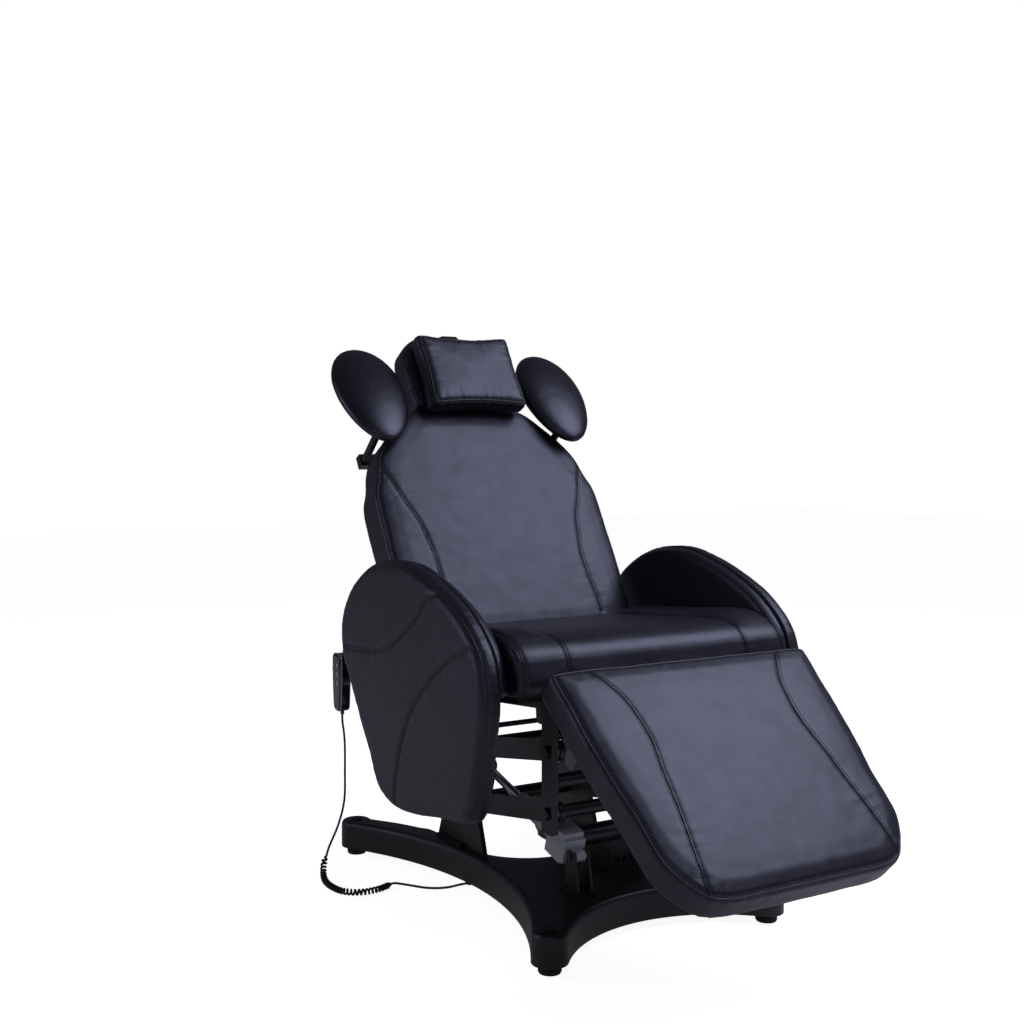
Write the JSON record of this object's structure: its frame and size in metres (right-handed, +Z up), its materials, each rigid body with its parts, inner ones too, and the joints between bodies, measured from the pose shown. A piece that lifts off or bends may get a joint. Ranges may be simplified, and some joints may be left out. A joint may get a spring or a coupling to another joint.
{
  "type": "facial treatment bed",
  "caption": "Electric facial treatment bed: splayed base, parallel-arm lift, padded side panels, reclining back, leg rest, sliding headrest, swinging ear pads and corded handset.",
  "frame": {"origin": "middle of the bed's footprint, on the floor", "axes": "+X to the right seen from the front, +Y towards the head, +Z up; the leg rest points to -Y"},
  "size_m": [0.8108, 1.3355, 1.2161],
  "materials": {
    "hide": "satin",
    "black_abs": "matte",
    "black_steel": "satin",
    "foot_rubber": "matte",
    "cord_rubber": "satin",
    "nylon": "satin",
    "motor_grey": "satin",
    "chrome": "polished",
    "plywood": "matte",
    "handset_gloss": "gloss",
    "key_silver": "satin",
    "strap_web": "matte"
  },
  "bodies": {
    "base": {"base_cover": "black_abs", "base_plate": "black_steel", "levelling_feet": "foot_rubber", "foot_caps": "black_abs", "pedestal": "black_steel", "control_box": "black_abs", "mains_inlet": "black_abs", "cord_gland": "black_abs", "cord_floor": "cord_rubber", "cord_curly": "cord_rubber", "cord_hanging": "cord_rubber"},
    "lower_link": {"lower_arms": "black_steel"},
    "upper_link": {"upper_arms": "black_steel"},
    "carriage_body": {"carriage": "black_steel", "pivot_bolts": "black_steel", "nylon_washers": "nylon"},
    "lift_housing": {"lift_gearbox": "motor_grey", "lift_motor": "black_steel"},
    "lift_slide": {"lift_rod": "chrome"},
    "tilt_housing": {"tilt_motor": "motor_grey"},
    "tilt_slide": {"tilt_rod": "chrome"},
    "back_housing": {"back_motor": "motor_grey"},
    "back_slide": {"back_rod": "chrome"},
    "leg_housing": {"leg_motor": "motor_grey"},
    "leg_slide": {"leg_rod": "chrome"},
    "seat": {"seat_frame": "black_steel", "seat_board": "plywood", "seat_cushion": "hide", "arm_panel_left": "hide", "arm_panel_right": "hide", "arm_lining_left": "hide", "arm_lining_right": "hide", "panel_flanges": "black_steel", "handset_hook": "black_abs", "handset_case": "handset_gloss"},
    "back": {"back_frame": "black_steel", "back_board": "plywood", "back_cushion": "hide", "ear_bracket_left": "black_steel", "ear_bracket_right": "black_steel"},
    "headrest": {"headrest_slide": "chrome", "headrest_board": "plywood", "headrest_cushion": "hide", "pillow": "hide", "pillow_strap": "strap_web"},
    "left_ear": {"ear_plate_left": "black_abs", "ear_left": "hide"},
    "right_ear": {"ear_plate_right": "black_abs", "ear_right": "hide"},
    "leg_rest": {"leg_frame": "black_steel", "leg_board": "plywood", "leg_cushion": "hide"},
    "button_1": {"key_1": "key_silver"},
    "button_2": {"key_2": "key_silver"},
    "button_3": {"key_3": "key_silver"},
    "button_4": {"key_4": "key_silver"},
    "button_5": {"key_5": "key_silver"},
    "button_6": {"key_6": "key_silver"}
  },
  "joints": [
    {"name": "lift", "type": "hinge", "parent": "base", "child": "lower_link", "pos_m": [0, 0.268, 0.175], "axis": [-1, 0, 0], "range_deg": [0, 38]},
    {"name": "upper_arms_turn", "type": "hinge", "parent": "base", "child": "upper_link", "pos_m": [0, 0.268, 0.297], "axis": [-1, 0, 0], "range_deg": [0, 38]},
    {"name": "carriage_level", "type": "hinge", "parent": "lower_link", "child": "carriage_body", "pos_m": [0, -0.09693, 0.23607], "axis": [-1, 0, 0], "range_deg": [-38, 0]},
    {"name": "lift_motor_swing", "type": "hinge", "parent": "base", "child": "lift_housing", "pos_m": [0, -0.11993, 0.15], "axis": [-1, 0, 0], "range_deg": [-0.03, 1.74]},
    {"name": "lift_extend", "type": "slide", "parent": "lift_housing", "child": "lift_slide", "axis": [0, 0.9605, 0.2782], "range_m": [-0.00108, 0.05504]},
    {"name": "seat_tilt", "type": "hinge", "parent": "carriage_body", "child": "seat", "pos_m": [0, -0.09693, 0.45507], "axis": [1, 0, 0], "range_deg": [0, 5]},
    {"name": "tilt_motor_swing", "type": "hinge", "parent": "carriage_body", "child": "tilt_housing", "pos_m": [0, -0.09693, 0.29707], "axis": [-1, 0, 0], "range_deg": [-3.57, 0.07]},
    {"name": "tilt_extend", "type": "slide", "parent": "tilt_housing", "child": "tilt_slide", "axis": [0, 0.8753, 0.4836], "range_m": [-0.00022, 0.01122]},
    {"name": "back_recline", "type": "hinge", "parent": "seat", "child": "back", "pos_m": [0, 0.2733, 0.49545], "axis": [-1, 0, 0], "range_deg": [0, 63]},
    {"name": "back_motor_swing", "type": "hinge", "parent": "seat", "child": "back_housing", "pos_m": [0, -0.00577, 0.40694], "axis": [-1, 0, 0], "range_deg": [-0.321, 0.006]},
    {"name": "back_retract", "type": "slide", "parent": "back_housing", "child": "back_slide", "axis": [0, 0.9961, 0.0885], "range_m": [-0.07454, 0.00146]},
    {"name": "leg_raise", "type": "hinge", "parent": "seat", "child": "leg_rest", "pos_m": [0, -0.27194, 0.50501], "axis": [-1, 0, 0], "range_deg": [-15, 43]},
    {"name": "leg_motor_swing", "type": "hinge", "parent": "seat", "child": "leg_housing", "pos_m": [0, -0.00577, 0.40694], "axis": [-1, 0, 0], "range_deg": [-1.55, 0.57]},
    {"name": "leg_extend", "type": "slide", "parent": "leg_housing", "child": "leg_slide", "axis": [0, -0.9874, 0.158], "range_m": [-0.01584, 0.04328]},
    {"name": "headrest_height", "type": "slide", "parent": "back", "child": "headrest", "axis": [0, 0.5, 0.866], "range_m": [0, 0.06]},
    {"name": "left_ear_swing", "type": "hinge", "parent": "back", "child": "left_ear", "pos_m": [-0.241, 0.47496, 0.99011], "axis": [0, -0.7431, 0.6691], "range_deg": [0, 80]},
    {"name": "right_ear_swing", "type": "hinge", "parent": "back", "child": "right_ear", "pos_m": [0.241, 0.47496, 0.99011], "axis": [0, 0.7431, -0.6691], "range_deg": [0, 80]},
    {"name": "button_1_press", "type": "slide", "parent": "seat", "child": "button_1", "axis": [1, 0, 0], "range_m": [0, 0.0008], "stiffness_N_per_m": 900, "springref_m": -0.0006},
    {"name": "button_2_press", "type": "slide", "parent": "seat", "child": "button_2", "axis": [1, 0, 0], "range_m": [0, 0.0008], "stiffness_N_per_m": 900, "springref_m": -0.0006},
    {"name": "button_3_press", "type": "slide", "parent": "seat", "child": "button_3", "axis": [1, 0, 0], "range_m": [0, 0.0008], "stiffness_N_per_m": 900, "springref_m": -0.0006},
    {"name": "button_4_press", "type": "slide", "parent": "seat", "child": "button_4", "axis": [1, 0, 0], "range_m": [0, 0.0008], "stiffness_N_per_m": 900, "springref_m": -0.0006},
    {"name": "button_5_press", "type": "slide", "parent": "seat", "child": "button_5", "axis": [1, 0, 0], "range_m": [0, 0.0008], "stiffness_N_per_m": 900, "springref_m": -0.0006},
    {"name": "button_6_press", "type": "slide", "parent": "seat", "child": "button_6", "axis": [1, 0, 0], "range_m": [0, 0.0008], "stiffness_N_per_m": 900, "springref_m": -0.0006}
  ],
  "couplings": [
    {"joint": "upper_arms_turn", "follows": "lift", "ratio": 1},
    {"joint": "carriage_level", "follows": "lift", "ratio": -1},
    {"joint": "lift_motor_swing", "follows": "lift", "ratio": 0.045},
    {"joint": "lift_extend", "follows": "lift", "m_per_rad": 0.08136},
    {"joint": "tilt_motor_swing", "follows": "seat_tilt", "ratio": -0.7},
    {"joint": "tilt_extend", "follows": "seat_tilt", "m_per_rad": 0.12605},
    {"joint": "back_motor_swing", "follows": "back_recline", "ratio": -0.005},
    {"joint": "back_retract", "follows": "back_recline", "m_per_rad": -0.066463},
    {"joint": "leg_motor_swing", "follows": "leg_raise", "ratio": -0.035},
    {"joint": "leg_extend", "follows": "leg_raise", "m_per_rad": 0.05615}
  ]
}
